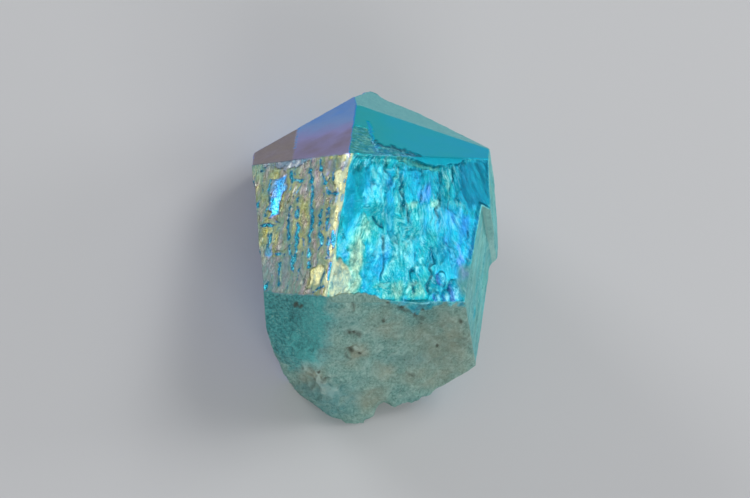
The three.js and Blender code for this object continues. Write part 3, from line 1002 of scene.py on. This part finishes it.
# the broken end and the worn point are not as regular as their flats: place, reach, and how far
# it goes along X and Y
OFF_TRUE = [
    ((-18.2, -14), (5, 8), (-1, 0)), ((-15, -22.8), (3.2, 3), (0.7, 0.6)),
    ((-1.2, -28), (2.4, 2.4), (0.5, -0.1)), ((-5.6, -29.2), (3, 2.4), (0.8, 0.6)),
    ((11.5, -25.5), (3.5, 2.2), (0.3, -0.7)), ((1.5, -26.6), (2.1, 2), (0, 1)),
    ((-0.8, 25.4), (2.8, 2.4), (-0.3, 0.8)),
]
for at, reach, shove in OFF_TRUE:
    across, up = sighted(moved)
    near = spot(across, up, at, reach, 0)
    moved[:, 0] += shove[0] * near
    moved[:, 1] += shove[1] * near
moved[:, 2] = np.maximum(moved[:, 2], -HEART[2])

# sharp edges are painted paler, as highlights, and hollows darker, as shade
out_way = outward(triangles, ways(moved, triangles))
sides = np.linalg.norm(moved[pairs[:, 0]] - moved[pairs[:, 1]], axis=1)
mean_side = np.bincount(pairs[:, 0], sides, len(points)) / np.bincount(pairs[:, 0], minlength=len(points))
crest = ((moved - mean_beside(pairs, moved)) * out_way).sum(1, keepdims=True) / mean_side[:, None]
for _ in range(2):
    crest = 0.5 * crest + 0.5 * mean_beside(pairs, crest)
crest = crest[:, 0]
for name, lit, sunken in ("left", 1, 0.3), ("right", 2.2, 0.6), ("strip", 1.2, 0.5), ("break", 1.2, 0.6):
    ids = seen[name]
    pale[ids] = np.clip(pale[ids] + lit * np.maximum(crest[ids] - 0.04, 0), 0, 0.9)
    at_least(deep, np.clip(deep[ids] + sunken * np.maximum(-crest[ids] - 0.04, 0), 0, 0.45))

# the lower left corner of the left face is painted darker, as shade, and loses its glints
ids = seen["left"]
far_corner = spot(*sighted(points[ids]), (-18.3, -6.3), (1.5, 1.6))
pale[ids] *= 1 - far_corner
at_least(deep, 0.5 * far_corner)

skin = bpy.data.meshes.new("quartz_skin")
skin.from_pydata(((moved + HEART) / 1000).tolist(), [], triangles.tolist())
skin.validate()
skin.shade_flat()
LAYERS = {
    "film": film, "coat": coat, "pale": pale, "deep": deep,
    "warm": warm, "glassy": glassy, "rust": rust, "smooth": smooth,
}
for label, values in LAYERS.items():
    layer = skin.attributes.new(label, "FLOAT", "POINT")
    layer.data.foreach_set("value", values.astype(np.float32))
layer = skin.attributes.new("grain", "FLOAT_VECTOR", "POINT")
layer.data.foreach_set("vector", grain.astype(np.float32).ravel())
crystal = bpy.data.objects.new("aura_quartz_point", skin)
bpy.context.scene.collection.objects.link(crystal)


# -------------------- the coating
# A film of metal a few hundred atoms thick, laid on in a vacuum. It is nothing but surface colour,
# so it is one material, and its run of colours follows how thick the film lies.


def colour(code):
    """A colour from its #rrggbb code, as the red, green and blue light it gives back."""
    parts = [int(code[k : k + 2], 16) / 255 for k in (1, 3, 5)]
    return tuple(c / 12.92 if c <= 0.04045 else ((c + 0.055) / 1.055) ** 2.4 for c in parts) + (1,)


coating = bpy.data.materials.new("aura_quartz")
coating.use_nodes = True
tree = coating.node_tree
tree.nodes.clear()


def node(kind, **settings):
    made = tree.nodes.new(kind)
    for key, value in settings.items():
        setattr(made, key, value)
    return made


def link(a, b):
    tree.links.new(a, b)


def value_of(label):
    return node("ShaderNodeAttribute", attribute_name=label).outputs["Fac"]


def maths(operation, a, b=None, clamp=False):
    made = node("ShaderNodeMath", operation=operation, use_clamp=clamp)
    for socket, value in zip(made.inputs, (a, b)):
        if isinstance(value, (int, float)):
            socket.default_value = value
        elif value is not None:
            link(value, socket)
    return made.outputs[0]


def times(a, b, clamp=False):
    return maths("MULTIPLY", a, b, clamp)


def plus(a, b, clamp=False):
    return maths("ADD", a, b, clamp)


def less(a, b):
    return maths("SUBTRACT", a, b)


def blend(amount, a, b):
    made = node("ShaderNodeMix", data_type="RGBA")
    for socket, value in ((made.inputs[0], amount), (made.inputs[6], a), (made.inputs[7], b)):
        if isinstance(value, (int, float, tuple)):
            socket.default_value = value
        else:
            link(value, socket)
    return made.outputs[2]


def speckle(size, detail, roughness):
    made = node("ShaderNodeTexNoise")
    made.inputs["Scale"].default_value = 1 / size
    made.inputs["Detail"].default_value = detail
    made.inputs["Roughness"].default_value = roughness
    link(place_in_grain, made.inputs["Vector"])
    return made.outputs["Fac"]


def ramp(amount, stops):
    made = node("ShaderNodeValToRGB")
    row = made.color_ramp.elements
    while len(row) < len(stops):
        row.new(0.5)
    for element, (at, code) in zip(row, stops):
        element.position = at
        element.color = colour(code)
    link(amount, made.inputs[0])
    return made.outputs[0]


# the fine grain of the stone streaks the film and dulls it, except where a face kept its polish
place_in_grain = node("ShaderNodeAttribute", attribute_name="grain").outputs["Vector"]
rest = less(1, times(value_of("smooth"), 0.85))
fibre = times(less(speckle(2.2, 4, 0.78), 0.5), rest)
# the colours of the film as it thickens, and those of its glints
FILM_RUN = [
    (0, "#e4dc9a"), (0.035, "#a49e4c"), (0.08, "#8c8e52"), (0.14, "#88806c"), (0.2, "#8a7e86"),
    (0.27, "#9a98c2"), (0.35, "#86a2cc"), (0.45, "#308cdc"), (0.55, "#17b2d4"), (0.63, "#14b6c2"),
    (0.73, "#46b0a6"), (0.84, "#96ccb0"), (1, "#e6e0a0"),
]
film_colour = ramp(plus(value_of("film"), times(fibre, 0.2), clamp=True), FILM_RUN)
# polished faces are painted a little brighter, as a painted sheen
brighter = node("ShaderNodeVectorMath", operation="SCALE")
link(film_colour, brighter.inputs[0])
link(plus(1, times(value_of("smooth"), 0.3)), brighter.inputs["Scale"])
# the grain paints the film darker in its furrows and paler on its ridges, partly grain and partly painted
# shade and highlight, and fine painted sparkles are strewn over it
low = plus(value_of("deep"), times(fibre, -2.4), clamp=True)
high = times(plus(fibre, -0.035), plus(times(value_of("pale"), 4), 2.2))
high = plus(value_of("pale"), high, clamp=True)
sparkle = times(less(speckle(0.6, 2, 0.7), 0.58), 6, clamp=True)
sparkle = times(times(sparkle, rest), plus(value_of("pale"), 0.6))
high = plus(high, sparkle, clamp=True)
film_colour = blend(low, brighter.outputs[0], colour("#086e8a"))
GLINT_RUN = [
    (0, "#f4f4cc"), (0.2, "#d2d8c8"), (0.45, "#b4e4ff"), (0.65, "#b0fcfa"), (0.84, "#d4fff0"),
    (1, "#f0f0c8"),
]
glint_colour = ramp(value_of("film"), GLINT_RUN)
film_colour = blend(high, film_colour, blend(0.7, film_colour, glint_colour))
# the bare stone is a sugary grey-green, with pale, warm, glassy and rusty places and dark pores
sugar = times(less(speckle(0.9, 3, 0.8), 0.5), 1.35)
patches = plus(times(speckle(7, 4, 0.6), 0.5), 0.25)
tone = plus(patches, sugar)
stone = ramp(tone, [(0.3, "#58807a"), (0.45, "#6a978f"), (0.58, "#7aa198"), (0.72, "#8eb3aa")])
stone = blend(times(value_of("warm"), 0.65), stone, colour("#92907a"))
stone = blend(times(value_of("pale"), 0.7), stone, colour("#b4cec4"))
stone = blend(times(value_of("deep"), 0.6), stone, colour("#478a90"))
teal = ramp(tone, [(0.3, "#2f6668"), (0.45, "#3f8486"), (0.58, "#4a9c9c"), (0.72, "#74a8a2")])
teal = blend(times(value_of("pale"), 0.6), teal, colour("#5ab4b0"))
stone = blend(value_of("glassy"), stone, teal)
stone = blend(value_of("rust"), stone, colour("#3e4238"))
pores = times(less(speckle(1.1, 3, 0.7), 0.58), 7, clamp=True)
stone = blend(times(pores, 0.6), stone, colour("#38544e"))
base = blend(value_of("coat"), stone, film_colour)

surface = node("ShaderNodeBsdfPrincipled")
out = node("ShaderNodeOutputMaterial")
link(surface.outputs[0], out.inputs[0])
link(base, surface.inputs["Base Color"])
link(times(value_of("coat"), 0.8), surface.inputs["Metallic"])
link(base, surface.inputs["Specular Tint"])
rough = less(0.8, times(value_of("coat"), 0.44))
rough = less(rough, times(value_of("glassy"), 0.2))
rough = plus(rough, times(fibre, 0.25), clamp=True)
link(rough, surface.inputs["Roughness"])
surface.inputs["IOR"].default_value = 1.54  # of quartz
surface.inputs["Coat Weight"].default_value = 0.08
surface.inputs["Coat Roughness"].default_value = 0.12
bump = node("ShaderNodeBump")
bump.inputs["Strength"].default_value = 0.55
bump.inputs["Distance"].default_value = 0.0002  # m
link(plus(times(fibre, 1.5), times(sugar, rest)), bump.inputs["Height"])
link(bump.outputs[0], surface.inputs["Normal"])
link(bump.outputs[0], surface.inputs["Coat Normal"])
skin.materials.append(coating)
crystal.active_material = coating

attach(crystal, "root")
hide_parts("quartz_crystal")


# -------------------- the table, the light, the camera
# The stone lies on a plain pale sheet under large soft lamps, and is looked down on from in front.

half = 3  # m, half the side of the sheet
sheet = bpy.data.meshes.new("sheet")
corners = [(x * half, y * half, 0) for x, y in ((-1, -1), (1, -1), (1, 1), (-1, 1))]
sheet.from_pydata(corners, [], [(0, 1, 2, 3)])
floor = bpy.data.objects.new("floor", sheet)
bpy.context.scene.collection.objects.link(floor)
paper = bpy.data.materials.new("pale_paper")
paper.use_nodes = True
sockets = paper.node_tree.nodes["Principled BSDF"].inputs
sockets["Base Color"].default_value = colour("#c5c6c7")
sockets["Roughness"].default_value = 0.9
sockets["Specular IOR Level"].default_value = 0.1
sheet.materials.append(paper)

world = bpy.data.worlds.new("studio")
bpy.context.scene.world = world
world.use_nodes = True
sky = world.node_tree.nodes["Background"].inputs
sky[0].default_value = colour("#c3c4c8")
sky[1].default_value = 0.6
bpy.context.scene.view_settings.view_transform = "Standard"

heart = Vector(HEART / 1000)


def lamp(name, toward, away, size, watts):
    """A square soft lamp, away metres from the stone in the direction toward, facing the stone."""
    light = bpy.data.lights.new(name, "AREA")
    light.shape = "SQUARE"
    light.size = size
    light.energy = watts
    made = bpy.data.objects.new(name, light)
    way = Vector(toward).normalized()
    made.location = heart + way * away
    made.rotation_mode = "QUATERNION"
    made.rotation_quaternion = (-way).to_track_quat("-Z", "Y")
    bpy.context.scene.collection.objects.link(made)


lamp("lamp_right_back", (0.36, 0.3, 0.88), 0.8, 0.4, 2.1)
lamp("lamp_right_low", (0.93, 0.4, 0.25), 0.8, 0.25, 1.6)
lamp("lamp_left_back", (-0.85, 0.5, 0.25), 0.8, 0.3, 3.0)
lamp("lamp_front", (0.2, -0.95, 0.35), 0.9, 0.5, 3.3)

camera_data = bpy.data.cameras.new("camera")
camera_data.lens = 100.8  # mm
camera_data.sensor_width = 36  # mm
camera_data.clip_start = 0.01
camera_data.clip_end = 20
camera = bpy.data.objects.new("camera", camera_data)
back = Vector(SIGHT_BACK).normalized()
up = Vector(SIGHT_RISE)
right = up.cross(back).normalized()
up = back.cross(right)
turn = Matrix((right, up, back)).transposed().to_4x4()
camera.matrix_world = Matrix.Translation(heart + back * (SIGHT_AWAY / 1000)) @ turn
bpy.context.scene.collection.objects.link(camera)
bpy.context.scene.camera = camera

bpy.context.view_layer.update()
